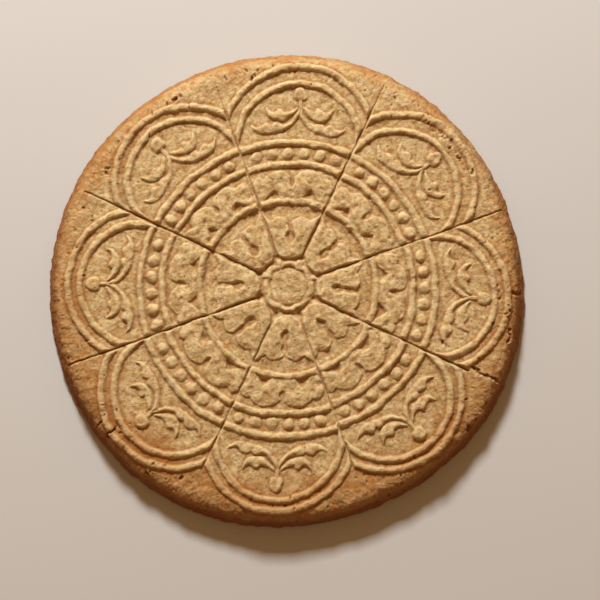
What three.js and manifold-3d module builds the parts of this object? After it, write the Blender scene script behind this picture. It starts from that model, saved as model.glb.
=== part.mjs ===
// A whole moulded shortbread round: a thick disc with a flat base, a sloping edge and a
// rounded shoulder. Its top carries a moulded relief that repeats in eight wedges, with a
// scored groove between each two wedges. All sizes are in millimetres, with +Z up.

import * as THREE from 'three';
import { mergeVertices } from 'three/addons/utils/BufferGeometryUtils.js';
import Module from 'manifold-3d';

const wasm = await Module();
wasm.setup();

// The disc, from its base up.
const BASE_RADIUS = 119.0;
const WIDEST_RADIUS = 120.6;
const WIDEST_HEIGHT = 3.0;
const SHOULDER_RADIUS = 117.0;
const SHOULDER_HEIGHT = 9.8;
const FIELD_RADIUS = 110.0;
const FIELD_HEIGHT = 14.6;
const SHOULDER_STEPS = 3;
const DISC_SIDES = 64;

// The edge is a little uneven: each wave has a count of lobes, a depth and a turn.
const EDGE_WAVES = [
  { lobes: 2, depth: 0.60, turn: 1.8 },
  { lobes: 3, depth: 0.30, turn: 5.4 },
  { lobes: 4, depth: 0.70, turn: 4.4 },
];

// The pattern stands a little off the middle of the disc.
const PATTERN_SHIFT = [1.3, -0.3];
const WEDGES = 8;
const WEDGE_ANGLE = (2 * Math.PI) / WEDGES;
const FIRST_GROOVE_ANGLE = THREE.MathUtils.degToRad(19.8);

// Raised lines have sloping flanks and a narrow flat crest. They are rooted below the field.
const RELIEF_HEIGHT = 1.7;
const ROOT_DEPTH = 1.0;
const LINE_FOOT = 1.7;
const LINE_CREST = 0.65;

// Rings round the middle of the pattern.
const PAD_RING_RADIUS = 44.2;
const BEAD_RING_RADII = [63.0, 74.0];
const RING_SIDES = 48;

// The hub is a low disc inside a rope of short arcs.
const HUB_RADIUS = 9.2;
const HUB_HEIGHT = 0.5;
const HUB_SIDES = 24;
const ROPE_RADIUS = 11.4;
const ROPE_FOOT = 1.5;
const ROPE_CREST = 0.6;
const ROPE_SIDES = 24;

// Beads stand in the channel between the two bead rings.
const BEADS_PER_WEDGE = 6;
const BEAD_CIRCLE_RADIUS = 68.4;
const BEAD_SPACING = THREE.MathUtils.degToRad(6.8);
const BEAD_RADIUS = 3.1;
const BEAD_SHOULDER_RADIUS = 2.1;
const BEAD_SHOULDER_HEIGHT = 1.2;
const BEAD_SIDES = 6;

// Two arches over each petal share a centre on the wedge's middle line.
const ARCH_CENTRE = 73.4;
const ARCH_RADII = [30.8, 38.4];
const ARCH_SIDES = 32;
const PETAL_FOOT = 66;
const PETAL_REACH = 125;

// Grooves between the wedges, cut to below the field.
const GROOVE_START = 9.4;
const GROOVE_END = 112;
const GROOVE_WIDTH = 2.4;
const GROOVE_DEPTH = 1.5;

// Raised outlines have a sloping rim all round.
const RIM_SLOPE = 1.0;
const RIM_RISE = 1.75;
const CURVE_STEPS = 2;

const TOP_HEIGHT = FIELD_HEIGHT + RELIEF_HEIGHT;
const ROOT_HEIGHT = FIELD_HEIGHT - ROOT_DEPTH;

// The outlines below lie in a wedge whose middle line runs along +Y from the hub. A step
// gives the next corner, and a bend point where the stretch to that corner is curved. A
// mirrored outline gives its right half, from the middle line round to the middle line.

// The pad beside the hub: a blunt inner end, two horns and a keyhole slot.
const PAD_START = [0, 15.8];
const PAD_STEPS = [
  { bend: [4.8, 15.8], corner: [5.8, 18.4] },
  { corner: [13.2, 36.8] },
  { corner: [9.2, 33.8] },
  { bend: [6.4, 37.6], corner: [2.0, 34.2] },
  { corner: [1.8, 30.6] },
  { bend: [5.0, 25.2], corner: [0, 23.0] },
];

// The crown between the pad ring and the bead ring: two pockets, four lobes and a notch.
const CROWN_START = [0, 44.6];
const CROWN_STEPS = [
  { corner: [5.0, 45.0] },
  { corner: [9.4, 49.6] },
  { corner: [14.4, 43.0] },
  { corner: [16.8, 42.2] },
  { corner: [20.0, 50.0] },
  { bend: [19.6, 55.2], corner: [15.4, 54.0] },
  { bend: [11.2, 61.2], corner: [3.4, 56.8] },
  { corner: [0, 52.0] },
];

// The bud at the head of the petal's spray.
const BUD_START = [0, 93.8];
const BUD_STEPS = [
  { corner: [1.6, 93.2] },
  { bend: [4.6, 94.8], corner: [0, 98.6] },
];

// The leaves on one side of the spray. The lower leaf carries half of the stalk.
const LEAF_OUTLINES = [
  { start: [0, 94.0], steps: [
    { corner: [0, 87.0] },
    { bend: [4.4, 78.6], corner: [13.0, 78.6] },
    { bend: [20.0, 76.0], corner: [23.4, 80.2] },
    { bend: [19.0, 80.6], corner: [17.0, 82.4] },
    { bend: [7.0, 80.6], corner: [0.6, 89.0] },
    { corner: [0.6, 93.8] },
  ] },
  { start: [2.4, 89.2], steps: [
    { bend: [12.0, 83.2], corner: [16.0, 91.0] },
    { bend: [10.0, 90.4], corner: [2.4, 89.2] },
  ] },
];

// Turns a closed three.js geometry into a solid that joins and cuts.
function makeSolid(geometry) {
  const bare = geometry.index ? geometry.toNonIndexed() : geometry.clone();
  bare.deleteAttribute('normal');
  bare.deleteAttribute('uv');
  const merged = mergeVertices(bare);
  const corners = merged.index.array;
  const triangles = [];
  for (let i = 0; i < corners.length; i += 3) {
    const [a, b, c] = corners.slice(i, i + 3);
    if (a !== b && b !== c && c !== a) triangles.push(a, b, c);
  }
  return new wasm.Manifold(new wasm.Mesh({
    numProp: 3,
    vertProperties: merged.attributes.position.array,
    triVerts: new Uint32Array(triangles),
  }));
}

// Turns a solid back into a three.js geometry.
function makeGeometry(body) {
  const mesh = body.getMesh();
  const geometry = new THREE.BufferGeometry();
  geometry.setAttribute('position', new THREE.BufferAttribute(mesh.vertProperties, 3));
  geometry.setIndex(new THREE.BufferAttribute(mesh.triVerts, 1));
  geometry.computeVertexNormals();
  return geometry;
}

// A profile of [radius, height] pairs turned round the upright axis.
function turnProfile(profile, sides) {
  const points = profile.map(([radius, height]) => new THREE.Vector2(radius, height));
  return new THREE.LatheGeometry(points, sides).rotateX(Math.PI / 2);
}

// How far the edge stands out at an angle round the disc.
function edgeWave(angle) {
  let sum = 0;
  for (const { lobes, depth, turn } of EDGE_WAVES) sum += depth * Math.cos(lobes * angle - turn);
  return sum;
}

// The plain disc with its rounded shoulder and uneven edge.
function makeDisc() {
  const profile = [[0, 0], [BASE_RADIUS, 0], [WIDEST_RADIUS, WIDEST_HEIGHT]];
  for (let step = 0; step <= SHOULDER_STEPS; step += 1) {
    const angle = (step / SHOULDER_STEPS) * (Math.PI / 2);
    profile.push([
      FIELD_RADIUS + (SHOULDER_RADIUS - FIELD_RADIUS) * Math.cos(angle),
      SHOULDER_HEIGHT + (FIELD_HEIGHT - SHOULDER_HEIGHT) * Math.sin(angle),
    ]);
  }
  profile.push([0, FIELD_HEIGHT]);
  const geometry = mergeVertices(turnProfile(profile, DISC_SIDES));
  const place = geometry.attributes.position;
  for (let i = 0; i < place.count; i += 1) {
    const [x, y] = [place.getX(i), place.getY(i)];
    const stretch = 1 + edgeWave(Math.atan2(y, x)) / WIDEST_RADIUS;
    place.setXY(i, x * stretch, y * stretch);
  }
  return makeSolid(geometry);
}

// A raised line that runs round in a ring.
function makeRing(radius, sides, foot = LINE_FOOT, crest = LINE_CREST) {
  return makeSolid(turnProfile([
    [radius - foot, ROOT_HEIGHT],
    [radius + foot, ROOT_HEIGHT],
    [radius + foot, FIELD_HEIGHT],
    [radius + crest, TOP_HEIGHT],
    [radius - crest, TOP_HEIGHT],
    [radius - foot, FIELD_HEIGHT],
    [radius - foot, ROOT_HEIGHT],
  ], sides));
}

// The low disc in the middle of the pattern.
function makeHub() {
  const top = FIELD_HEIGHT + HUB_HEIGHT;
  return makeSolid(turnProfile(
    [[0, ROOT_HEIGHT], [HUB_RADIUS, ROOT_HEIGHT], [HUB_RADIUS, top], [0, top]],
    HUB_SIDES,
  ));
}

// An open path through a start and its steps.
function traceSteps(start, steps) {
  const shape = new THREE.Shape();
  shape.moveTo(...start);
  for (const { bend, corner } of steps) {
    if (bend) shape.quadraticCurveTo(...bend, ...corner);
    else shape.lineTo(...corner);
  }
  return shape;
}

// A closed outline whose left half mirrors the steps of its right half.
function mirrorSteps(start, steps) {
  const shape = traceSteps(start, steps);
  for (let i = steps.length - 1; i >= 0; i -= 1) {
    const [x, y] = i > 0 ? steps[i - 1].corner : start;
    const { bend } = steps[i];
    if (bend) shape.quadraticCurveTo(-bend[0], bend[1], -x, y);
    else shape.lineTo(-x, y);
  }
  return shape;
}

// A flat outline raised from the field, with a sloping rim.
function makeRaised(shape) {
  const geometry = new THREE.ExtrudeGeometry(shape, {
    depth: TOP_HEIGHT - ROOT_HEIGHT - RIM_RISE,
    bevelThickness: RIM_RISE,
    bevelSize: RIM_SLOPE,
    bevelSegments: 1,
    curveSegments: CURVE_STEPS,
  });
  return makeSolid(geometry.translate(0, 0, ROOT_HEIGHT));
}

// One bead: a low dome whose foot is sunk in the channel.
function makeBead(angle) {
  const geometry = turnProfile([
    [0, ROOT_HEIGHT],
    [BEAD_RADIUS, ROOT_HEIGHT],
    [BEAD_RADIUS, FIELD_HEIGHT],
    [BEAD_SHOULDER_RADIUS, FIELD_HEIGHT + BEAD_SHOULDER_HEIGHT],
    [0, TOP_HEIGHT],
  ], BEAD_SIDES);
  return makeSolid(geometry.translate(0, BEAD_CIRCLE_RADIUS, 0).rotateZ(angle));
}

// The part of each petal that its arches are kept to.
function makePetalRoom() {
  const spread = Math.tan(WEDGE_ANGLE / 2);
  const shape = new THREE.Shape();
  shape.moveTo(PETAL_FOOT * spread, PETAL_FOOT);
  shape.lineTo(PETAL_REACH * spread, PETAL_REACH);
  shape.lineTo(-PETAL_REACH * spread, PETAL_REACH);
  shape.lineTo(-PETAL_FOOT * spread, PETAL_FOOT);
  const geometry = new THREE.ExtrudeGeometry(shape, { depth: TOP_HEIGHT, bevelEnabled: false });
  return makeSolid(geometry);
}

// Everything raised in one wedge, with its middle line along +Y.
function makeWedge() {
  const pieces = [
    makeRaised(mirrorSteps(PAD_START, PAD_STEPS)),
    makeRaised(mirrorSteps(CROWN_START, CROWN_STEPS)),
    makeRaised(mirrorSteps(BUD_START, BUD_STEPS)),
  ];
  for (const { start, steps } of LEAF_OUTLINES) {
    const leaf = makeRaised(traceSteps(start, steps));
    pieces.push(leaf, leaf.mirror([1, 0, 0]));
  }
  const room = makePetalRoom();
  for (const radius of ARCH_RADII) {
    const arch = makeRing(radius, ARCH_SIDES).translate([0, ARCH_CENTRE, 0]);
    pieces.push(arch.intersect(room));
  }
  for (let bead = 0; bead < BEADS_PER_WEDGE; bead += 1) {
    pieces.push(makeBead((bead - (BEADS_PER_WEDGE - 1) / 2) * BEAD_SPACING));
  }
  return pieces.reduce((whole, piece) => whole.add(piece));
}

// The sharp groove between two wedges, running out along +Y.
function makeGroove() {
  const shape = new THREE.Shape();
  shape.moveTo(0, FIELD_HEIGHT - GROOVE_DEPTH);
  shape.lineTo(GROOVE_WIDTH / 2, TOP_HEIGHT);
  shape.lineTo(-GROOVE_WIDTH / 2, TOP_HEIGHT);
  const length = GROOVE_END - GROOVE_START;
  const geometry = new THREE.ExtrudeGeometry(shape, { depth: length, bevelEnabled: false });
  return makeSolid(geometry.rotateX(Math.PI / 2).translate(0, GROOVE_END, 0));
}

// The whole relief, in place on the disc.
function makeShortbread() {
  const wedge = makeWedge();
  const groove = makeGroove();
  let relief = makeHub().add(makeRing(ROPE_RADIUS, ROPE_SIDES, ROPE_FOOT, ROPE_CREST));
  for (const radius of [PAD_RING_RADIUS, ...BEAD_RING_RADII]) {
    relief = relief.add(makeRing(radius, RING_SIDES));
  }
  const quarterTurn = Math.PI / 2;
  for (let i = 0; i < WEDGES; i += 1) {
    const turn = FIRST_GROOVE_ANGLE + (i + 0.5) * WEDGE_ANGLE - quarterTurn;
    relief = relief.add(wedge.rotate([0, 0, THREE.MathUtils.radToDeg(turn)]));
  }
  let body = makeDisc().add(relief.translate([...PATTERN_SHIFT, 0]));
  for (let i = 0; i < WEDGES; i += 1) {
    const turn = FIRST_GROOVE_ANGLE + i * WEDGE_ANGLE - quarterTurn;
    const cut = groove.rotate([0, 0, THREE.MathUtils.radToDeg(turn)]);
    body = body.subtract(cut.translate([...PATTERN_SHIFT, 0]));
  }
  return makeGeometry(body);
}

// The origin is the middle of the base.
function centreOnBase(geometry) {
  geometry.computeBoundingBox();
  const middle = geometry.boundingBox.getCenter(new THREE.Vector3());
  return geometry.translate(-middle.x, -middle.y, -geometry.boundingBox.min.z);
}

const crumb = new THREE.MeshStandardMaterial({ color: 0xc79a5e, roughness: 0.9, metalness: 0 });

const shortbread = new THREE.Mesh(centreOnBase(makeShortbread()), crumb);
shortbread.name = 'shortbread';

const group = new THREE.Group();
group.add(shortbread);

export default group;
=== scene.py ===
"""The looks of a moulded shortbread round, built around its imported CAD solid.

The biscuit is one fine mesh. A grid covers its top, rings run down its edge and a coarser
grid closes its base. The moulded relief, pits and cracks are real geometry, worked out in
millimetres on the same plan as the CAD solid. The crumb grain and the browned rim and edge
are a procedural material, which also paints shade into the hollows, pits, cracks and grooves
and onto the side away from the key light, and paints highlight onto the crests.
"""

import math

import bpy
import numpy as np
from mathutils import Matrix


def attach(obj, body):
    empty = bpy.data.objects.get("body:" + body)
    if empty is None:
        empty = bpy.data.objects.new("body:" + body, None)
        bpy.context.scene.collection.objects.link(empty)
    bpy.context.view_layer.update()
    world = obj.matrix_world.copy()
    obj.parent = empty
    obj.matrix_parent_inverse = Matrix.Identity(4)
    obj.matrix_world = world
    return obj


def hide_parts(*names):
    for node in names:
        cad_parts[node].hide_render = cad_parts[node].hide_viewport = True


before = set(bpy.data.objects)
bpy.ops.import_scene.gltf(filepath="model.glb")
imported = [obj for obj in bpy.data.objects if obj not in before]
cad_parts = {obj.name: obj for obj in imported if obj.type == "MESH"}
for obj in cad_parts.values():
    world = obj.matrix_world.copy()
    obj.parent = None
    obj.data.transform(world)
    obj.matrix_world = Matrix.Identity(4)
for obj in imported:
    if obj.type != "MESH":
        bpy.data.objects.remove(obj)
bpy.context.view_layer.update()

MM = 0.001

# The disc, from its base up, in millimetres.
BASE_RADIUS = 119.0
WIDEST_RADIUS = 120.6
WIDEST_HEIGHT = 3.0
SHOULDER_RADIUS = 117.0
SHOULDER_HEIGHT = 9.8
FIELD_RADIUS = 110.0
FIELD_HEIGHT = 14.6

# Waves of the uneven edge: count of lobes, depth and turn.
EDGE_WAVES = [(2, 0.60, 1.8), (3, 0.30, 5.4), (4, 0.70, 4.4)]

# The moulded pattern.
PATTERN_SHIFT = (1.3, -0.3)
WEDGES = 8
WEDGE_ANGLE = 2 * math.pi / WEDGES
FIRST_GROOVE_ANGLE = math.radians(19.8)
RELIEF_HEIGHT = 1.7
LINE_HALF_WIDTH = 1.9
LINE_FULLNESS = 2.6
LINE_ROUNDNESS = 0.85
PAD_RING_RADIUS = 44.2
BEAD_RING_RADII = (63.0, 74.0)
HUB_RADIUS = 9.2
HUB_HEIGHT = 0.5
HUB_SLOPE = 0.6

# The scalloped rope round the hub, with its height wedge by wedge, and the spurs between the
# pads, with their height groove by groove.
ROPE_RADIUS = 10.4
ROPE_BULGE = 1.3
ROPE_HALF_WIDTH = 1.5
ROPE_SHARES = (0.70, 0.80, 0.70, 0.35, 0.60, 0.80, 0.65, 0.35)
SPUR_SHARES = (0.75, 0.75, 0.80, 0.60, 0, 0, 0, 0)
SPUR_HALF_WIDTH = 1.7
SPUR_END = 14.6
SPUR_FADE = 1.0
SPUR_RUN = 3.0

# Sunken rings: round the rope, and inside the pads' outer ends.
MOAT_RADIUS = 13.9
MOAT_WIDTH = 1.6
MOAT_DEPTH = 0.6
PAD_MOAT_RADIUS = 39.8
PAD_MOAT_WIDTH = 3.4
PAD_MOAT_DEPTH = 0.4

BEADS_PER_WEDGE = 6
BEAD_CIRCLE_RADIUS = 68.4
BEAD_SPACING = math.radians(6.8)
BEAD_RADIUS = 3.1
ARCH_CENTRE = 73.4
ARCH_RADII = (30.9, 37.6)
PETAL_FOOT = 66.0
PETAL_MIDDLE = 92.0
GROOVE_START = 11.0
GROOVE_WIDTH = 2.6
GROOVE_DEPTH = 1.1
GROOVE_RUN_IN = 3.0
GROOVE_RUN_OUT = 1.5
PAD_HEIGHT = 1.75
PAD_FALL = 0.22
PAD_FALL_SPAN = (20, 36)
PAD_CROWNING = 4.0
CROWN_HEIGHT = 1.35
CROWN_CROWNING = 3.0
SPRAY_HEIGHT = 1.45
SPRAY_CROWNING = 1.6
CORNER_RADIUS = 15.4
CORNER_WIDTH = 2.6
CORNER_DEPTH = 1.6
RIM_SLOPE = 0.45
RIM_SHARE = 0.72

# How far each petal's inner and outer arch bulge out past the rest, wedge by wedge.
ARCH_BULGES = [
    (-1.2, 1.4),
    (-1.2, 0.9),
    (0.3, 0.0),
    (-0.3, -0.9),
    (1.6, 1.0),
    (1.1, -0.4),
    (0.4, -1.3),
    (-1.2, -1.2),
]

# The moulding sits a little off the crossing of the grooves: by MOULD_SHIFT over the rings,
# and by half of it over the petals, which also lie slightly further out. Outside the pads
# each wedge's pattern leans to one side by an angle in degrees.
MOULD_SHIFT = (-0.5, -1.1)
PETAL_SHIFT_SHARE = 0.5
PETAL_OUTWARD = 0.75
WEDGE_LEANS = (-1, -1, 0, 1.5, 0.5, -0.5, -0.5, -0.5)

# Where each groove runs out and how deep it is beside the deepest.
GROOVES = [
    (116.5, 1.0),
    (113.5, 0.9),
    (112.5, 0.55),
    (114.5, 1.0),
    (118.0, 1.1),
    (112.5, 0.6),
    (107.5, 0.45),
    (100.0, 0.95),
]

# Half outlines in a wedge whose middle line runs along +Y. A step is a corner, or a bend
# point and a corner where the stretch to that corner is curved.
PAD_OUTLINE = [
    [(0, 14.4)],
    [(4.8, 14.4), (6.9, 18.4)],
    [(15.3, 37.0)],
    [(9.4, 34.0)],
    [(6.4, 38.0), (2.0, 35.2)],
    [(0, 33.4)],
]
CROWN_OUTLINE = [
    [(0, 44.6)],
    [(5.0, 45.0)],
    [(9.4, 49.6)],
    [(14.4, 43.0)],
    [(16.8, 42.2)],
    [(20.4, 50.0)],
    [(20.2, 56.6), (15.4, 54.6)],
    [(11.2, 61.8), (3.0, 58.4)],
    [(0, 55.6)],
]
BUD_OUTLINE = [
    [(0, 94.2)],
    [(3.9, 93.6), (3.3, 97.6)],
    [(2.6, 101.0), (0, 101.2)],
]
LOWER_LEAF_OUTLINE = [
    [(0, 95.0)],
    [(0, 87.0)],
    [(4.2, 79.6), (12.5, 78.2)],
    [(21.0, 75.2), (24.2, 80.6)],
    [(20.8, 79.2), (18.8, 81.0)],
    [(17.4, 84.0), (13.4, 81.6)],
    [(12.0, 84.6), (8.0, 82.6)],
    [(4.0, 83.4), (0.8, 89.6)],
    [(0.8, 95.0)],
]
UPPER_LEAF_OUTLINE = [
    [(1.6, 89.8)],
    [(6.5, 82.6), (12.5, 84.2)],
    [(17.0, 85.4), (17.0, 90.6)],
    [(14.0, 87.2), (12.2, 88.8)],
    [(9.6, 91.6), (8.0, 88.4)],
    [(4.6, 88.6), (1.6, 90.8)],
]

# Hollows in a wedge: place along its middle line, half-width, half-length and share of depth.
HOLLOWS = [
    (25.2, 2.3, 3.2, 1.0),
    (31.5, 1.4, 5.2, 0.80),
    (54.4, 1.4, 3.2, 0.95),
]

# Pockets on both sides of a wedge's middle line: way off it, way along it, reach and depth.
POCKETS = [
    (8.6, 47.2, 4.0, 0.9),
    (18.4, 47.0, 3.0, 0.7),
    (8.0, 53.0, 2.2, 0.5),
    (15.0, 50.6, 2.4, 0.4),
]
HOLLOW_WALL = (1.5, 0.2)
POCKET_FLATNESS = 1.6
CURVE_STEPS = 7

# Fineness of the mesh.
PROFILE_STEPS = 30
PROFILE_ROUNDINGS = 3
TOP_CELLS = 448
BASE_CELLS = TOP_CELLS // 4
SIDE_RINGS = 36
# The painted shade in hollows and painted highlight on crests: steps of averaging over the surroundings,
# and the height below or above them, in millimetres, that gives the full tint.
PAINTED_LIGHT_SPREAD = 9  # steps over which a point's surroundings are averaged
PAINTED_LIGHT_DEPTH = 0.32
BASE_DOWN = 2.0  # marks the base where the way down the edge runs from 0 to 1

# Places on the texture map: the top's disc, the strips of the edge and the base's disc.
MAP_MARGIN = 0.01
TOP_MAP_MIDDLE = 0.395
TOP_MAP_REACH = 0.385
STRIP_START = 0.8
STRIP_LENGTH = 0.615
STRIP_WIDTH = 0.068
STRIP_GAP = 0.02
BASE_MAP_MIDDLE = 0.83
BASE_MAP_REACH = 0.16

# Pits that stand out on the rim: direction in degrees, distance out and size.
PITS = [
    (121, 112.0, 1.6),
    (128, 113.0, 1.1),
    (119, 104.7, 0.9),
    (148, 108.8, 1.2),
    (101, 112.6, 1.2),
    (98, 111.8, 0.8),
    (100, 107.4, 1.3),
    (99, 109.0, 0.9),
    (94, 113.4, 0.9),
    (32, 109.8, 1.4),
    (340, 81.8, 1.2),
    (322, 114.6, 2.1),
    (241, 108.0, 1.4),
    (233, 115.4, 1.2),
]

# Rows of crumbled pits: first and last direction in degrees, distance out, count and size.
PIT_ROWS = [
    (36, 52, 108.2, 22, 0.8),
    (345, 349, 113.2, 12, 1.1),
    (352, 355, 110.6, 7, 1.0),
    (118, 124, 112.0, 7, 1.0),
]

# Cracks at the rim: direction in degrees, where they start and end, half-width and depth.
CRACKS = [
    (335.7, 98.0, 115.0, 0.75, 1.6),
    (219.6, 109.0, 117.0, 0.8, 2.2),
    (216.0, 112.5, 117.5, 0.5, 1.4),
    (358.6, 111.0, 117.6, 1.0, 1.5),
]


# Scattered pits on the rim and on the top: count, least size and greatest size.
RIM_SCATTER = (420, 0.35, 0.95)
TOP_SCATTER = (260, 0.3, 0.6)
RIM_SPAN = (96, 112)


# ---------------------------------------------------------------- small numeric helpers


def smooth_step(low, high, value):
    """Rises smoothly from 0 at low to 1 at high."""
    part = np.clip((value - low) / (high - low), 0, 1)
    return part * part * (3 - 2 * part)


def noise(points, cell, seed):
    """Smooth seeded noise from about -1 to 1 over points, with cells of one size."""
    table = np.random.default_rng(seed).uniform(-1, 1, 4096)
    place = points / cell
    corner = np.floor(place).astype(np.int64)
    part = place - corner
    part = part**3 * (part * (part * 6 - 15) + 10)
    total = np.zeros(len(points))
    for step in np.ndindex(2, 2, 2):
        at = corner + step
        key = (at[:, 0] * 73856093) ^ (at[:, 1] * 19349663) ^ (at[:, 2] * 83492791)
        weight = np.prod(np.where(step, part, 1 - part), axis=1)
        total += weight * table[key % len(table)]
    return total


def trace(outline, mirror):
    """The points of an outline, with its curves stepped, and its mirror image joined on."""
    points = [outline[0][0]]
    for step in outline[1:]:
        if len(step) == 1:
            points.append(step[0])
            continue
        start, bend, corner = np.array(points[-1]), np.array(step[0]), np.array(step[1])
        for t in np.linspace(0, 1, CURVE_STEPS + 1)[1:]:
            points.append((1 - t) ** 2 * start + 2 * t * (1 - t) * bend + t * t * corner)
    points = np.array(points, dtype=float)
    if mirror:
        points = np.vstack([points, points[-2:0:-1] * (-1, 1)])
    return points


def depth_inside(x, y, outline):
    """How far points lie inside a closed outline, negative outside it."""
    nearest = np.full(x.shape, np.inf)
    inside = np.zeros(x.shape, dtype=bool)
    for (ax, ay), (bx, by) in zip(outline, np.roll(outline, -1, axis=0)):
        ex, ey = bx - ax, by - ay
        along = np.clip(((x - ax) * ex + (y - ay) * ey) / (ex * ex + ey * ey + 1e-12), 0, 1)
        gap = (x - ax - along * ex) ** 2 + (y - ay - along * ey) ** 2
        nearest = np.minimum(nearest, gap)
        if ay != by:
            crosses = (ay > y) != (by > y)
            inside ^= crosses & (x < (y - ay) * ex / ey + ax)
    return np.where(inside, 1, -1) * np.sqrt(nearest)


# ---------------------------------------------------------------------------- the relief


def raised_line(offset, half_width=LINE_HALF_WIDTH):
    """A rounded line, from 0 at its foot to 1 on its crest, at an offset across it."""
    return np.clip(1 - np.abs(offset / half_width) ** LINE_FULLNESS, 0, 1) ** LINE_ROUNDNESS


def raised_shape(x, y, outline, mirror, reach):
    """A rounded pad over an outline, from 0 to 1. Reach is how far in it goes on rising."""
    height = np.zeros(x.shape)
    points = trace(outline, mirror)
    low, high = points.min(axis=0) - 2 * RIM_SLOPE, points.max(axis=0) + 2 * RIM_SLOPE
    near = (x > low[0]) & (x < high[0]) & (y > low[1]) & (y < high[1])
    depth = depth_inside(x[near], y[near], points)
    rise = smooth_step(-RIM_SLOPE, RIM_SLOPE, depth)
    height[near] = rise * (RIM_SHARE + (1 - RIM_SHARE) * smooth_step(0, reach, depth))
    return height


def wedge_place(x, y):
    """Each point's radius, wedge number and angle from the wedge's middle line."""
    radius = np.hypot(x, y)
    turn = (np.arctan2(y, x) - FIRST_GROOVE_ANGLE) % (2 * math.pi)
    wedge = np.minimum((turn / WEDGE_ANGLE).astype(int), WEDGES - 1)
    return radius, wedge, turn - (wedge + 0.5) * WEDGE_ANGLE


def regular_place(radius, wedge, turn):
    """The radius and turn that points would have if each wedge's pattern sat just right."""
    middle = FIRST_GROOVE_ANGLE + (wedge + 0.5) * WEDGE_ANGLE
    shift_x, shift_y = MOULD_SHIFT
    on_petal = smooth_step(BEAD_RING_RADII[1], PETAL_MIDDLE, radius)
    share = smooth_step(HUB_RADIUS, PAD_MOAT_RADIUS, radius) * (1 - (1 - PETAL_SHIFT_SHARE) * on_petal)
    out = share * (shift_x * np.cos(middle) + shift_y * np.sin(middle)) + PETAL_OUTWARD * on_petal
    around = share * (shift_y * np.cos(middle) - shift_x * np.sin(middle))
    lean = np.radians(WEDGE_LEANS)[wedge] * smooth_step(PAD_RING_RADIUS, BEAD_RING_RADII[1], radius)
    return radius - out, turn - around / np.maximum(radius, HUB_RADIUS) - lean


def relief(x, y):
    """Height of the moulded pattern over the field, in millimetres."""
    radius, wedge, turn = wedge_place(x, y)
    corner_gap = np.hypot(radius - CORNER_RADIUS, radius * (WEDGE_ANGLE / 2 - np.abs(turn)))
    radius, turn = regular_place(radius, wedge, turn)
    across, along = radius * np.sin(turn), radius * np.cos(turn)
    side = np.abs(across)

    layers = [raised_line(radius - ring) for ring in (PAD_RING_RADIUS, *BEAD_RING_RADII)]
    rope = ROPE_RADIUS + ROPE_BULGE * np.cos(turn / WEDGE_ANGLE * math.pi)
    shares = (ROPE_SHARES[-1], *ROPE_SHARES, ROPE_SHARES[0])
    rope_share = np.interp(wedge + turn / WEDGE_ANGLE, range(-1, WEDGES + 1), shares)
    layers.append(rope_share * raised_line(radius - rope, ROPE_HALF_WIDTH))
    nearest = np.where(turn > 0, wedge + 1, wedge) % WEDGES
    spur = raised_line(radius * (WEDGE_ANGLE / 2 - np.abs(turn)), SPUR_HALF_WIDTH)
    spur *= smooth_step(SPUR_END + SPUR_FADE, SPUR_END - SPUR_FADE, radius)
    spur *= np.array(SPUR_SHARES)[nearest]
    layers.append(np.where(radius > ROPE_RADIUS, spur, 0))
    hub = smooth_step(HUB_SLOPE, -HUB_SLOPE, radius - HUB_RADIUS)
    layers.append(HUB_HEIGHT / RELIEF_HEIGHT * hub)
    from_arch = np.hypot(across, along - ARCH_CENTRE)
    crown_share = np.clip((along - ARCH_CENTRE) / from_arch, 0, 1)
    for arch, bulge in zip(ARCH_RADII, np.array(ARCH_BULGES).T):
        offset = from_arch - arch - bulge[wedge] * crown_share
        layers.append(np.where(along > PETAL_FOOT, raised_line(offset), 0))

    bead = np.clip(np.floor(turn / BEAD_SPACING), -BEADS_PER_WEDGE / 2, BEADS_PER_WEDGE / 2 - 1)
    bead_turn = turn - (bead + 0.5) * BEAD_SPACING
    from_bead = np.hypot(radius * np.sin(bead_turn), radius * np.cos(bead_turn) - BEAD_CIRCLE_RADIUS)
    layers.append(raised_line(from_bead, BEAD_RADIUS))
    lines = RELIEF_HEIGHT * np.max(layers, axis=0)

    pad_height = PAD_HEIGHT * (1 - PAD_FALL * smooth_step(*PAD_FALL_SPAN, radius))
    spray = [
        raised_shape(across, along, BUD_OUTLINE, True, SPRAY_CROWNING),
        raised_shape(side, along, LOWER_LEAF_OUTLINE, False, SPRAY_CROWNING),
        raised_shape(side, along, UPPER_LEAF_OUTLINE, False, SPRAY_CROWNING),
    ]
    shape = np.max([
        pad_height * raised_shape(across, along, PAD_OUTLINE, True, PAD_CROWNING),
        CROWN_HEIGHT * raised_shape(across, along, CROWN_OUTLINE, True, CROWN_CROWNING),
        SPRAY_HEIGHT * np.max(spray, axis=0),
    ], axis=0)
    for place, half_width, half_length, share in HOLLOWS:
        gap = (across / half_width) ** 2 + ((along - place) / half_length) ** 2
        shape *= 1 - share * smooth_step(*HOLLOW_WALL, gap)
    height = np.maximum(lines, shape)
    height -= CORNER_DEPTH * smooth_step(CORNER_WIDTH, 0, corner_gap)
    for away, sunk_along, reach, deep in POCKETS:
        from_pocket = np.hypot(side - away, POCKET_FLATNESS * (along - sunk_along))
        height -= deep * smooth_step(reach, 0, from_pocket)
    height -= PAD_MOAT_DEPTH * smooth_step(PAD_MOAT_WIDTH, 0, np.abs(radius - PAD_MOAT_RADIUS))
    moat = smooth_step(MOAT_WIDTH, 0, np.abs(radius - MOAT_RADIUS))
    return height - MOAT_DEPTH * (1 - spur) * moat


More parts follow.
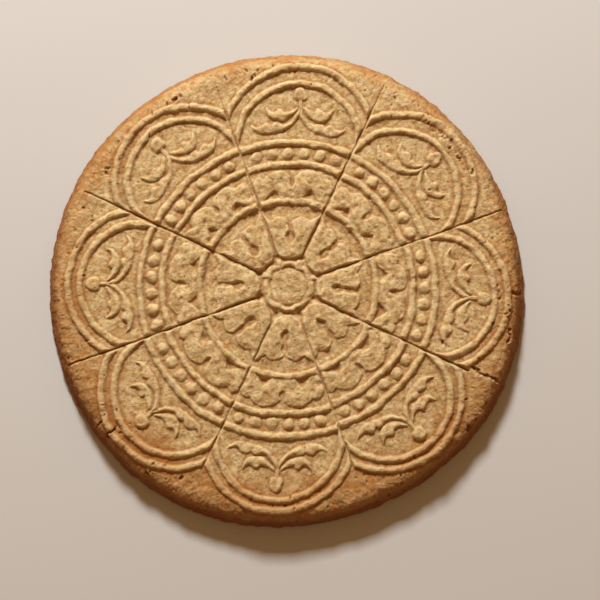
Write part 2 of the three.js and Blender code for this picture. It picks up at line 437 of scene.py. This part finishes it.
def groove_floor(x, y):
    """Height of the scored grooves' flanks over the field, high away from a groove."""
    radius, wedge, turn = wedge_place(x, y)
    nearest = np.where(turn > 0, wedge + 1, wedge) % WEDGES
    end, share = np.array(GROOVES).T
    offset = np.abs(radius * np.sin(WEDGE_ANGLE / 2 - np.abs(turn)))
    depth = GROOVE_DEPTH * share[nearest]
    slope = (RELIEF_HEIGHT + GROOVE_DEPTH) / (GROOVE_WIDTH / 2)
    end = end[nearest]
    run_out = smooth_step(end - GROOVE_RUN_OUT, end + GROOVE_RUN_OUT, radius)
    start = GROOVE_START + SPUR_RUN * np.array(SPUR_SHARES)[nearest]
    run_in = smooth_step(start + GROOVE_RUN_IN, start, radius)
    return -depth + slope * offset + (RELIEF_HEIGHT + GROOVE_DEPTH) * (run_out + run_in)


# ------------------------------------------------------------------------- the base mesh


def edge_wave(angle):
    """How far the edge stands out at an angle round the disc."""
    return sum(depth * np.cos(lobes * angle - turn) for lobes, depth, turn in EDGE_WAVES)


def disc_profile():
    """Rings down the edge, from the field to the base: radius, height and normal."""
    quarter = np.linspace(0, math.pi / 2, PROFILE_STEPS)
    shoulder = np.stack([
        FIELD_RADIUS + (SHOULDER_RADIUS - FIELD_RADIUS) * np.sin(quarter),
        SHOULDER_HEIGHT + (FIELD_HEIGHT - SHOULDER_HEIGHT) * np.cos(quarter),
    ], axis=1)
    foot = np.stack([
        BASE_RADIUS + (WIDEST_RADIUS - BASE_RADIUS) * np.cos(quarter),
        WIDEST_HEIGHT - WIDEST_HEIGHT * np.sin(quarter),
    ], axis=1)
    line = np.vstack([shoulder, foot])
    travel = np.append(0, np.cumsum(np.hypot(*np.diff(line, axis=0).T)))
    even = np.linspace(0, travel[-1], SIDE_RINGS + 1)
    points = np.stack([np.interp(even, travel, line[:, i]) for i in (0, 1)], axis=1)
    for _ in range(PROFILE_ROUNDINGS):
        points[1:-1] = (points[:-2] + 2 * points[1:-1] + points[2:]) / 4
    run = np.gradient(points, axis=0)
    normal = np.stack([-run[:, 1], run[:, 0]], axis=1)
    normal /= np.linalg.norm(normal, axis=1)[:, None]
    return points, normal


def disc_grid(cells):
    """A square grid bent into a unit disc: its points, quads and rim in turning order."""
    line = np.linspace(-1, 1, cells + 1)
    a, b = np.meshgrid(line, line, indexing="ij")
    wide = np.abs(a) > np.abs(b)
    reach = np.where(wide, a, b)
    with np.errstate(divide="ignore", invalid="ignore"):
        angle = np.where(wide, b / a * math.pi / 4, math.pi / 2 - a / b * math.pi / 4)
    angle = np.nan_to_num(angle)
    points = np.stack([reach * np.cos(angle), reach * np.sin(angle)], axis=-1).reshape(-1, 2)
    index = np.arange((cells + 1) ** 2).reshape(cells + 1, cells + 1)
    quads = np.stack([index[:-1, :-1], index[1:, :-1], index[1:, 1:], index[:-1, 1:]], axis=-1)
    rim = np.concatenate([index[-1, :-1], index[::-1, -1][:-1], index[0, ::-1][:-1], index[:-1, 0]])
    return points, quads.reshape(-1, 4), rim


def rim_between(last, here, there, step):
    """The fine rim points that lie between two coarse ones next to each other."""
    count = len(last)
    a, b = int(here - last[0]), int(there - last[0])
    if (b - a) % count == step:
        return [int(last[(a + i) % count]) for i in range(1, step)]
    if (a - b) % count == step:
        return [int(last[(a - i) % count]) for i in range(1, step)]
    return []


def base_faces(quads, rim, number, last):
    """The base's faces, whose rim takes in every point of the finer ring above it."""
    rim_points = set(rim.tolist())
    step = len(last) // len(rim)
    faces = []
    for quad in quads.tolist():
        ring = []
        for here, there in zip(quad, quad[1:] + quad[:1]):
            ring.append(int(number[here]))
            if here in rim_points and there in rim_points:
                ring.extend(rim_between(last, number[here], number[there], step))
        faces.append(ring[::-1])
    return faces


def side_map(around):
    """Map places of the edge's face corners: four strips, each a quarter of the way round."""
    quarter = around // 4
    turn = np.arange(around)
    strip, local = turn // quarter, turn % quarter
    upright = (strip >= 2)[:, None]
    start = STRIP_START + (strip % 2)[:, None] * (STRIP_WIDTH + STRIP_GAP)
    corners = []
    for ring in range(SIDE_RINGS):
        along = MAP_MARGIN + STRIP_LENGTH * (local[:, None] + np.array([0, 0, 1, 1])) / quarter
        across = start + STRIP_WIDTH * (ring + np.array([0, 1, 1, 0])) / SIDE_RINGS
        u, v = np.where(upright, across, along), np.where(upright, along, across)
        corners.append(np.stack([u, v], axis=-1).reshape(-1, 2))
    return np.vstack(corners)


def build_disc():
    """The plain disc: points, outward normals, how far down each point is, faces and map."""
    profile, normals = disc_profile()
    top, top_quads, top_rim = disc_grid(TOP_CELLS)
    base, base_quads, base_rim = disc_grid(BASE_CELLS)
    around = len(top_rim)
    inner = np.setdiff1d(np.arange(len(base)), base_rim)

    rim_unit = top[top_rim]
    side = (profile[1:, None, :1] * rim_unit).reshape(-1, 2)
    side_normal = (normals[1:, None, :1] * rim_unit).reshape(-1, 2)
    points = np.vstack([
        np.column_stack([top * FIELD_RADIUS, np.full(len(top), FIELD_HEIGHT)]),
        np.column_stack([side, np.repeat(profile[1:, 1], around)]),
        np.column_stack([base[inner] * BASE_RADIUS, np.zeros(len(inner))]),
    ])
    normal = np.vstack([
        np.tile([0.0, 0.0, 1.0], (len(top), 1)),
        np.column_stack([side_normal, np.repeat(normals[1:, 1], around)]),
        np.tile([0.0, 0.0, -1.0], (len(inner), 1)),
    ])
    ring_depth = np.arange(1, SIDE_RINGS + 1) / SIDE_RINGS
    down = np.concatenate([
        np.zeros(len(top)),
        np.repeat(ring_depth, around),
        np.full(len(inner), BASE_DOWN),
    ])

    rings = [top_rim]
    for ring in range(SIDE_RINGS):
        rings.append(len(top) + ring * around + np.arange(around))
    faces = top_quads.tolist()
    for upper, lower in zip(rings, rings[1:]):
        band = np.stack([upper, lower, np.roll(lower, -1), np.roll(upper, -1)], axis=1)
        faces.extend(band.tolist())
    number = np.empty(len(base), dtype=np.int64)
    number[inner] = len(top) + len(side) + np.arange(len(inner))
    number[base_rim] = rings[-1][:: around // len(base_rim)]
    under = base_faces(base_quads, base_rim, number, rings[-1])

    under_corners = points[[corner for face in under for corner in face], :2]
    uv = np.vstack([
        TOP_MAP_MIDDLE + TOP_MAP_REACH * top[top_quads].reshape(-1, 2),
        side_map(around),
        BASE_MAP_MIDDLE + BASE_MAP_REACH * under_corners / BASE_RADIUS,
    ])
    return points, normal, down, faces + under, uv


# --------------------------------------------------------------------- the moulded surface


# The pattern's wobble: how far it drifts and in what cells, in millimetres, calmer on the
# hub and over the petals.
WIDE_DRIFT = (0.40, 9.0)
CLOSE_DRIFT_CELL = 3.2
CLOSE_DRIFT = 0.22
CLOSE_DRIFT_RISE = 0.20
HUB_CALM_SPAN = (8.5, 10.5)
PETAL_CALM = 0.45
PETAL_CALM_SPAN = (60, 80)
WEAR = [(0.14, 14.0), (0.16, 4.0)]
LUMPS = [(0.26, 5.0), (0.26, 2.5)]
GROOVE_WOBBLE = (0.40, 14.0)
SHOULDER_FADE = 2.4


def moulded_height(points):
    """Height of the pattern on the top, with a real moulding's wobble, and the grooves' mask of painted
    shade.
    """
    x, y = points[:, 0] - PATTERN_SHIFT[0], points[:, 1] - PATTERN_SHIFT[1]
    flat = np.column_stack([x, y, np.zeros(len(x))])
    radius = np.hypot(x, y)
    middle = smooth_step(*HUB_CALM_SPAN, radius)
    middle *= 1 - PETAL_CALM * smooth_step(*PETAL_CALM_SPAN, radius)
    close = CLOSE_DRIFT + CLOSE_DRIFT_RISE * middle
    wide, wide_cell = WIDE_DRIFT
    drift_x = wide * noise(flat, wide_cell, 11) + close * noise(flat, CLOSE_DRIFT_CELL, 12)
    drift_y = wide * noise(flat, wide_cell, 13) + close * noise(flat, CLOSE_DRIFT_CELL, 14)
    height = relief(x + drift_x, y + drift_y)
    height *= 0.96 + sum(amount * noise(flat, cell, 15 + i) for i, (amount, cell) in enumerate(WEAR))

    lumps = sum(amount * noise(flat, cell, 17 + i) for i, (amount, cell) in enumerate(LUMPS))
    raised = smooth_step(0.4, 1.2, height)
    height += middle * (0.35 + 0.65 * raised) * lumps

    floor = groove_floor(x + 0.5 * drift_x, y + 0.5 * drift_y)
    floor += GROOVE_WOBBLE[0] * noise(flat, GROOVE_WOBBLE[1], 19)
    cut = smooth_step(0.0, -0.8, floor)
    height = np.minimum(height, floor)

    out = np.hypot(points[:, 0], points[:, 1])
    fade = smooth_step(SHOULDER_RADIUS + SHOULDER_FADE, SHOULDER_RADIUS, out)
    return height * fade, cut * fade


def crumb_height(points, down):
    """The grain of the crumb and the lumps of the rough edge, in millimetres."""
    above_base = smooth_step(BASE_DOWN, 1.0, down)
    edge = smooth_step(0.0, 0.5, down) * above_base
    rim = smooth_step(*RIM_SPAN, np.hypot(points[:, 0], points[:, 1])) * above_base
    swell = 0.30 * noise(points, 42.0, 21)
    lumps = (0.25 + 0.23 * edge) * noise(points, 6.5, 22)
    grain = (0.25 + 0.06 * rim + 0.04 * edge) * noise(points, 2.8, 23)
    fine = (0.13 + 0.10 * rim) * noise(points, 0.95, 24)
    return swell + lumps + grain + fine


def dent(points, near, centre, size, depth, seed):
    """A ragged hollow round a centre: the points in it, how deep each goes, and its painted shade."""
    found = np.flatnonzero(((points - centre) ** 2).sum(axis=1) < (2.4 * size) ** 2)
    found = found[near[found]]
    ragged = 1 + 0.55 * noise(points[found], max(size * 0.7, 0.9), seed)
    offset = points[found] - centre
    squash = math.radians(seed % 180)
    across = offset[:, 0] * math.cos(squash) + offset[:, 1] * math.sin(squash)
    gap = np.sqrt((offset**2).sum(axis=1) * 0.7 + across**2 * 1.8) / (size * ragged)
    hollow = np.clip(1 - gap**2, 0, 1) ** 0.6
    return found, depth * hollow, hollow


def add_pits(points, height, down):
    """Sinks the named pits, rows of pits and a scatter of small ones. Returns their painted shade."""
    tint = np.zeros(len(points))
    outside = down < 1.5
    upper = down < 0.45
    rng = np.random.default_rng(31)
    shift = np.array([*PATTERN_SHIFT, 0])

    places = [(turn, out, size) for turn, out, size in PITS]
    for first, last, out, count, size in PIT_ROWS:
        for turn in rng.uniform(first, last, count):
            places.append((turn, out + rng.normal(0, 0.7), size * rng.uniform(0.5, 1.2)))
    flat = points[:, :2] - shift[:2]
    for turn, out, size in places:
        spot = out * np.array([math.cos(math.radians(turn)), math.sin(math.radians(turn))])
        gap = np.where(upper, ((flat - spot) ** 2).sum(axis=1), np.inf)
        sink_one(points, height, tint, outside, int(np.argmin(gap)), size, rng)

    radius = np.hypot(points[:, 0], points[:, 1])
    rim = np.flatnonzero(outside & (radius > 101))
    top = np.flatnonzero(upper & (radius < 104))
    for group, (count, low, high) in ((rim, RIM_SCATTER), (top, TOP_SCATTER)):
        for centre in rng.choice(group, count, replace=False):
            size = low + (high - low) * rng.uniform() ** 2.2
            sink_one(points, height, tint, outside, int(centre), size, rng)
    return tint


def sink_one(points, height, tint, near, centre, size, rng):
    """Sinks one pit at a mesh point and paints shade in it."""
    found, depth, hollow = dent(points, near, points[centre], size, 0.85 * size, int(rng.integers(1e6)))
    height[found] -= depth
    tint[found] = np.maximum(tint[found], hollow * min(1.0, size))


def add_cracks(points, height, down):
    """Opens the cracks at the rim. Returns their painted shade."""
    tint = np.zeros(len(points))
    flat = points - np.array([*PATTERN_SHIFT, 0])
    radius = np.hypot(flat[:, 0], flat[:, 1])
    for turn, first, last, half_width, depth in CRACKS:
        angle = math.radians(turn)
        along = flat[:, 0] * math.cos(angle) + flat[:, 1] * math.sin(angle)
        across = -flat[:, 0] * math.sin(angle) + flat[:, 1] * math.cos(angle)
        near = (np.abs(across) < 4) & (along > first - 2) & (down < 0.75) & (radius < last + 3)
        near = np.flatnonzero(near)
        ragged = across[near] + 1.3 * noise(flat[near], 4.0, 41) + 0.5 * noise(flat[near], 1.3, 42)
        ends = smooth_step(first, first + 2, along[near]) * smooth_step(last + 1.5, last - 1, along[near])
        open_to = half_width * (1 + 0.4 * noise(flat[near], 2.0, 43))
        part = np.clip(1 - np.abs(ragged) / open_to, 0, 1) ** 0.7 * ends
        height[near] -= depth * part
        tint[near] = np.maximum(tint[near], part)
    return tint


def averaged(values, edges, passes):
    """Values spread to their neighbours along the mesh edges."""
    count = len(values)
    a, b = edges[:, 0], edges[:, 1]
    share = np.bincount(a, minlength=count) + np.bincount(b, minlength=count)
    for _ in range(passes):
        total = np.bincount(a, values[b], count) + np.bincount(b, values[a], count)
        values = total / share
    return values


def shortbread_surface():
    """The finished surface in millimetres, with its faces, map and tints."""
    points, normal, down, faces, uv = build_disc()
    moulded, cut = moulded_height(points)
    height = np.where(down < 1, moulded, 0) + crumb_height(points, down)
    pit = add_pits(points, height, down)
    crack = add_cracks(points, height, down)
    on_base = smooth_step(0.86, 1.0, down)
    height *= 1 - on_base

    angle = np.arctan2(points[:, 1], points[:, 0])
    turn = np.linspace(-math.pi, math.pi, 721)
    rim = WIDEST_RADIUS + edge_wave(turn)
    rim_x, rim_y = rim * np.cos(turn), rim * np.sin(turn)
    middle = [rim_x.max() + rim_x.min(), rim_y.max() + rim_y.min()]
    stretch = 1 + edge_wave(angle) / WIDEST_RADIUS
    place = points * np.column_stack([stretch, stretch, np.ones(len(points))])
    place += normal * height[:, None]
    place[:, :2] -= np.array(middle) / 2
    place[:, 2] = np.maximum(place[:, 2], 0)
    # The pit tint is painted shade in the pits, the cracks and the grooves.
    tints = {"pit": np.max([pit, crack, 0.55 * cut * (down < 1)], axis=0), "down": down}
    return place, faces, uv, tints


def make_mesh(name, place, faces, uv, tints):
    """A mesh object in metres from points in millimetres."""
    mesh = bpy.data.meshes.new(name)
    mesh.from_pydata((place * MM).tolist(), [], faces)
    mesh.polygons.foreach_set("use_smooth", np.ones(len(mesh.polygons), dtype=bool))
    layer = mesh.uv_layers.new(name="OFBake")
    layer.uv.foreach_set("vector", uv.astype(np.float32).ravel())
    edges = np.empty(len(mesh.edges) * 2, dtype=np.int32)
    mesh.edges.foreach_get("vertices", edges)
    edges = edges.reshape(-1, 2)
    # Painted shade and highlight: a point below the average of its surroundings gets the hollow tint,
    # which is painted shade, and a point above it gets the crest tint, which is a painted highlight.
    # Neither reaches down the edge.
    sunken = averaged(place[:, 2], edges, PAINTED_LIGHT_SPREAD) - place[:, 2]
    sunken *= smooth_step(0.35, 0.15, tints["down"])
    tints["hollow"] = np.clip(sunken / PAINTED_LIGHT_DEPTH, 0, 1)
    tints["crest"] = np.clip(-sunken / PAINTED_LIGHT_DEPTH, 0, 1)
    for tint, values in tints.items():
        mesh.attributes.new(tint, "FLOAT", "POINT").data.foreach_set("value", values.astype(np.float32))
    mesh.update()
    piece = bpy.data.objects.new(name, mesh)
    bpy.context.collection.objects.link(piece)
    return piece


# ------------------------------------------------------------------------------ material


class Nodes:
    """Adds and joins shader nodes in one material."""

    def __init__(self, material):
        material.use_nodes = True
        self.tree = material.node_tree
        self.shader = self.tree.nodes["Principled BSDF"]

    def add(self, kind, inputs=None, **settings):
        """A node with its settings and inputs. An input is a value or another node's output."""
        node = self.tree.nodes.new(kind)
        for key, value in settings.items():
            setattr(node, key, value)
        for key, value in (inputs or {}).items():
            self.put(node.inputs[key], value)
        return node

    def put(self, socket, value):
        """Joins an output to a socket, or sets the socket's value."""
        if isinstance(value, bpy.types.NodeSocket):
            self.tree.links.new(value, socket)
        else:
            socket.default_value = value

    def math(self, operation, a, b):
        """A math node's output."""
        return self.add("ShaderNodeMath", {0: a, 1: b}, operation=operation).outputs[0]

    def remap(self, value, low, high, to_low=0.0, to_high=1.0):
        """A value mapped from one range to another and kept inside it."""
        inputs = {"Value": value, "From Min": low, "From Max": high, "To Min": to_low, "To Max": to_high}
        return self.add("ShaderNodeMapRange", inputs, interpolation_type="SMOOTHSTEP").outputs[0]

    def attribute(self, name):
        """A tint stored on the mesh."""
        return self.add("ShaderNodeAttribute", attribute_name=name).outputs["Fac"]

    def noise(self, place, scale, detail=2.0, roughness=0.5):
        """Noise with its scale in cells per metre."""
        inputs = {"Vector": place, "Scale": scale, "Detail": detail, "Roughness": roughness}
        return self.add("ShaderNodeTexNoise", inputs).outputs["Fac"]

    def mix(self, factor, a, b):
        """Two colours mixed."""
        node = self.add("ShaderNodeMix", data_type="RGBA")
        for name, value in (("Factor_Float", factor), ("A_Color", a), ("B_Color", b)):
            self.put(next(s for s in node.inputs if s.identifier == name), value)
        return next(s for s in node.outputs if s.identifier == "Result_Color")


# The crumb's colours. The reddish dark brown of the crevices is painted shade, the deepest toast also
# serves as painted shade in pits, cracks and grooves, and the pale tan also serves as painted highlight
# on the crests.
TAN = (0.580, 0.432, 0.210, 1)
TAN_PALE = (0.68, 0.580, 0.365, 1)
TAN_DEEP = (0.455, 0.290, 0.120, 1)
TOAST = (0.415, 0.192, 0.054, 1)
DEEP_TOAST_AND_SHADE = (0.22, 0.075, 0.018, 1)
CREVICE_SHADE = (0.29, 0.092, 0.012, 1)
GRAIN_DEEP = (0.37, 0.220, 0.080, 1)
SPECK = (0.20, 0.080, 0.024, 1)
CRUMB_PALE = (0.79, 0.670, 0.430, 1)

# Cells per metre of the crumb's patterns.
PATCHES = 55
MOTTLES = 240
SPECKS = 430
SPECKLES = 480
ROUGHNESSES = 650
SAND = 1250
GRAINS = 1500

# Browned rim and edge, partly real toasting and partly painted shade on the near side, away from the key
# light: that shaded side, how far the rim's border sways, in metres, and the spans from none to full over
# the rim, down the edge and from the lit far side to the shaded side.
SHADED_SIDE = (-0.18, -0.98, 0)
BORDER_SWAY = 0.030
SHADED_SIDE_SWAY = 0.070
RIM_BROWN = (0.096, 0.117, 0.0, 0.96)
EDGE_BROWN = (0.05, 0.75, 0.0, 0.90)
SHADED_SIDE_SPAN = (-0.12, 0.08, 0.45, 1.0)

# How much painted highlight the crests take, and how much painted shade the hollows and the pits, cracks
# and grooves take.
CREST_HIGHLIGHT_SHARE = 0.40
HOLLOW_SHADE_SHARE = 0.46
PIT_SHADE_SHARE = 0.75
BUMP_DISTANCE = 0.00045


def crumb_colour(nodes, place, grain, mottle):
    """Tan crumb with paler and darker grains of several sizes."""
    speckle = nodes.noise(place, SPECKLES)
    colour = nodes.mix(nodes.remap(mottle, 0.32, 0.68), TAN_DEEP, TAN_PALE)
    colour = nodes.mix(0.35, colour, TAN)
    colour = nodes.mix(nodes.remap(speckle, 0.52, 0.70, 0.0, 0.32), colour, CRUMB_PALE)
    colour = nodes.mix(nodes.remap(speckle, 0.48, 0.32, 0.0, 0.50), colour, GRAIN_DEEP)
    colour = nodes.mix(nodes.remap(grain, 0.52, 0.72, 0.0, 0.20), colour, CRUMB_PALE)
    colour = nodes.mix(nodes.remap(grain, 0.48, 0.30, 0.0, 0.30), colour, GRAIN_DEEP)
    cells = nodes.add("ShaderNodeTexVoronoi", {"Vector": place, "Scale": SAND}, feature="F1")
    chance = nodes.add("ShaderNodeSeparateColor", {"Color": cells.outputs["Color"]}).outputs[0]
    colour = nodes.mix(nodes.remap(chance, 0.70, 1.0, 0.0, 0.20), colour, CRUMB_PALE)
    return nodes.mix(nodes.remap(chance, 0.30, 0.0, 0.0, 0.34), colour, GRAIN_DEEP)


def browning_and_side_shade(nodes, place, colour, mottle):
    """Adds the browner rim and edge, with an uneven border, and paints shade that makes both deeper on
    the side away from the key light.
    """
    patches = nodes.noise(place, PATCHES, 3.0)
    out = nodes.add("ShaderNodeVectorMath", {0: place, 1: (1, 1, 0)}, operation="MULTIPLY").outputs[0]
    radius = nodes.add("ShaderNodeVectorMath", {0: out}, operation="LENGTH").outputs["Value"]
    toward = {0: place, 1: SHADED_SIDE}
    toward_shade = nodes.add("ShaderNodeVectorMath", toward, operation="DOT_PRODUCT").outputs["Value"]
    # The border sways with random patches, and it moves inward on the side away from the key light as
    # painted shade.
    sway = nodes.math("MULTIPLY", nodes.math("SUBTRACT", patches, 0.5), BORDER_SWAY)
    sway = nodes.math("ADD", sway, nodes.math("MULTIPLY", toward_shade, SHADED_SIDE_SWAY))
    rim = nodes.remap(nodes.math("ADD", radius, sway), *RIM_BROWN)
    edge = nodes.remap(nodes.attribute("down"), *EDGE_BROWN)
    # Painted shade: the edge's brown deepens toward the side away from the key light.
    edge = nodes.math("MULTIPLY", edge, nodes.remap(toward_shade, *SHADED_SIDE_SPAN))
    colour = nodes.mix(rim, colour, nodes.mix(nodes.remap(mottle, 0.3, 0.7), TOAST, TAN_DEEP))
    return nodes.mix(edge, colour, DEEP_TOAST_AND_SHADE)


def relief_highlight_and_shade(nodes, colour):
    """Paints highlight on the crests and shade in the hollows, pits, cracks and grooves."""
    colour = nodes.mix(nodes.math("MULTIPLY", nodes.attribute("crest"), CREST_HIGHLIGHT_SHARE), colour, TAN_PALE)
    colour = nodes.mix(nodes.math("MULTIPLY", nodes.attribute("hollow"), HOLLOW_SHADE_SHARE), colour, CREVICE_SHADE)
    return nodes.mix(nodes.math("MULTIPLY", nodes.attribute("pit"), PIT_SHADE_SHARE), colour, DEEP_TOAST_AND_SHADE)


def loose_specks(nodes, place, colour):
    """Scatters a few dark and pale crumbs."""
    cells = nodes.add("ShaderNodeTexVoronoi", {"Vector": place, "Scale": SPECKS}, feature="F1")
    chance = nodes.add("ShaderNodeSeparateColor", {"Color": cells.outputs["Color"]})
    near = nodes.remap(cells.outputs["Distance"], 0.30, 0.16)
    dark = nodes.math("MULTIPLY", near, nodes.math("GREATER_THAN", chance.outputs[0], 0.88))
    pale = nodes.math("MULTIPLY", near, nodes.math("GREATER_THAN", chance.outputs[1], 0.90))
    colour = nodes.mix(nodes.math("MULTIPLY", dark, 0.60), colour, SPECK)
    return nodes.mix(nodes.math("MULTIPLY", pale, 0.45), colour, CRUMB_PALE)


def make_crumb():
    """Baked crumb: tan and grainy on top, browner over the rim and down the edge, with painted shade and
    highlight over the relief and painted shade on the side away from the key light.
    """
    material = bpy.data.materials.new("baked_crumb")
    nodes = Nodes(material)
    place = nodes.add("ShaderNodeTexCoord").outputs["Object"]
    mottle = nodes.noise(place, MOTTLES, 3.0, 0.6)
    grain = nodes.noise(place, GRAINS, 2.0, 0.6)

    colour = crumb_colour(nodes, place, grain, mottle)
    colour = loose_specks(nodes, place, colour)
    colour = browning_and_side_shade(nodes, place, colour, mottle)
    colour = relief_highlight_and_shade(nodes, colour)

    rough = nodes.noise(place, ROUGHNESSES, 3.0, 0.55)
    cells = nodes.add("ShaderNodeTexVoronoi", {"Vector": place, "Scale": SAND}, feature="F1")
    parts = (nodes.math("MULTIPLY", rough, 0.9), nodes.math("MULTIPLY", cells.outputs["Distance"], -0.25))
    height = nodes.math("ADD", nodes.math("ADD", *parts), nodes.math("MULTIPLY", grain, 0.3))
    bump = nodes.add("ShaderNodeBump", {"Height": height, "Strength": 1.0, "Distance": BUMP_DISTANCE})

    shader = nodes.shader
    nodes.put(shader.inputs["Base Color"], colour)
    nodes.put(shader.inputs["Roughness"], nodes.remap(mottle, 0.3, 0.7, 0.78, 0.92))
    nodes.put(shader.inputs["Normal"], bump.outputs["Normal"])
    shader.inputs["Specular IOR Level"].default_value = 0.25
    shader.inputs["Subsurface Weight"].default_value = 0.35
    shader.inputs["Subsurface Radius"].default_value = (1.0, 0.35, 0.1)
    shader.inputs["Subsurface Scale"].default_value = 0.0012
    return material


# --------------------------------------------------------------------- floor, light, view

FLOOR_REACH = 1.6
FLOOR_COLOUR = (0.58, 0.595, 0.61, 1)
BACKDROP_COLOUR = (0.56, 0.54, 0.51, 1)
AIM = (0.0069, -0.0075, 0.0155)
VIEW_ELEVATION = math.radians(84.2)
VIEW_DISTANCE = 0.842
VIEW_WIDTH = 0.300
SENSOR_WIDTH = 36.0
KEY_TURN = math.radians(101)
KEY_ELEVATION = math.radians(36)
KEY_DISTANCE = 1.7
KEY_SIZE = 0.27
KEY_POWER = 38.0
KEY_COLOUR = (1.0, 0.98, 0.93)
GLOW_COLOUR = (1.0, 0.55, 0.23, 1)
GLOW_STRENGTH = 0.35
PICTURE_GAMMA = 0.90


def make_floor():
    """A plain pale floor under the biscuit."""
    bpy.ops.mesh.primitive_plane_add(size=2 * FLOOR_REACH)
    floor = bpy.context.object
    floor.name = "floor"
    material = bpy.data.materials.new("pale_floor")
    nodes = Nodes(material)
    nodes.shader.inputs["Base Color"].default_value = FLOOR_COLOUR
    nodes.shader.inputs["Roughness"].default_value = 0.9
    floor.data.materials.append(material)


def make_camera():
    """The camera, which looks almost straight down."""
    data = bpy.data.cameras.new("camera")
    data.sensor_width = SENSOR_WIDTH
    data.lens = SENSOR_WIDTH * VIEW_DISTANCE / VIEW_WIDTH
    camera = bpy.data.objects.new("camera", data)
    back = (0, -math.cos(VIEW_ELEVATION), math.sin(VIEW_ELEVATION))
    camera.location = [at + VIEW_DISTANCE * way for at, way in zip(AIM, back)]
    camera.rotation_euler = (math.pi / 2 - VIEW_ELEVATION, 0, 0)
    bpy.context.collection.objects.link(camera)
    bpy.context.scene.camera = camera


def make_key():
    """A square soft light that faces the biscuit from low behind it."""
    data = bpy.data.lights.new("key", "AREA")
    data.size = KEY_SIZE
    data.energy = KEY_POWER
    data.color = KEY_COLOUR
    light = bpy.data.objects.new("key", data)
    light.location = (
        KEY_DISTANCE * math.cos(KEY_ELEVATION) * math.cos(KEY_TURN),
        KEY_DISTANCE * math.cos(KEY_ELEVATION) * math.sin(KEY_TURN),
        KEY_DISTANCE * math.sin(KEY_ELEVATION),
    )
    light.rotation_euler = (math.pi / 2 - KEY_ELEVATION, 0, KEY_TURN + math.pi / 2)
    bpy.context.collection.objects.link(light)


def make_studio():
    """A low soft key light from behind and an even warm surround, which itself looks pale."""
    make_key()
    world = bpy.data.worlds.new("surround")
    world.use_nodes = True
    nodes, links = world.node_tree.nodes, world.node_tree.links
    glow = nodes["Background"]
    glow.inputs["Color"].default_value = GLOW_COLOUR
    glow.inputs["Strength"].default_value = GLOW_STRENGTH
    backdrop = nodes.new("ShaderNodeBackground")
    backdrop.inputs["Color"].default_value = BACKDROP_COLOUR
    seen = nodes.new("ShaderNodeMixShader")
    links.new(nodes.new("ShaderNodeLightPath").outputs["Is Camera Ray"], seen.inputs[0])
    links.new(glow.outputs[0], seen.inputs[1])
    links.new(backdrop.outputs[0], seen.inputs[2])
    links.new(seen.outputs[0], nodes["World Output"].inputs["Surface"])
    bpy.context.scene.world = world
    bpy.context.scene.view_settings.view_transform = "Standard"
    bpy.context.scene.view_settings.gamma = PICTURE_GAMMA


# --------------------------------------------------------------------------- the biscuit

biscuit = make_mesh("moulded_shortbread", *shortbread_surface())
biscuit.data.materials.append(make_crumb())
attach(biscuit, "root")
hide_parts("shortbread")

make_floor()
make_camera()
make_studio()
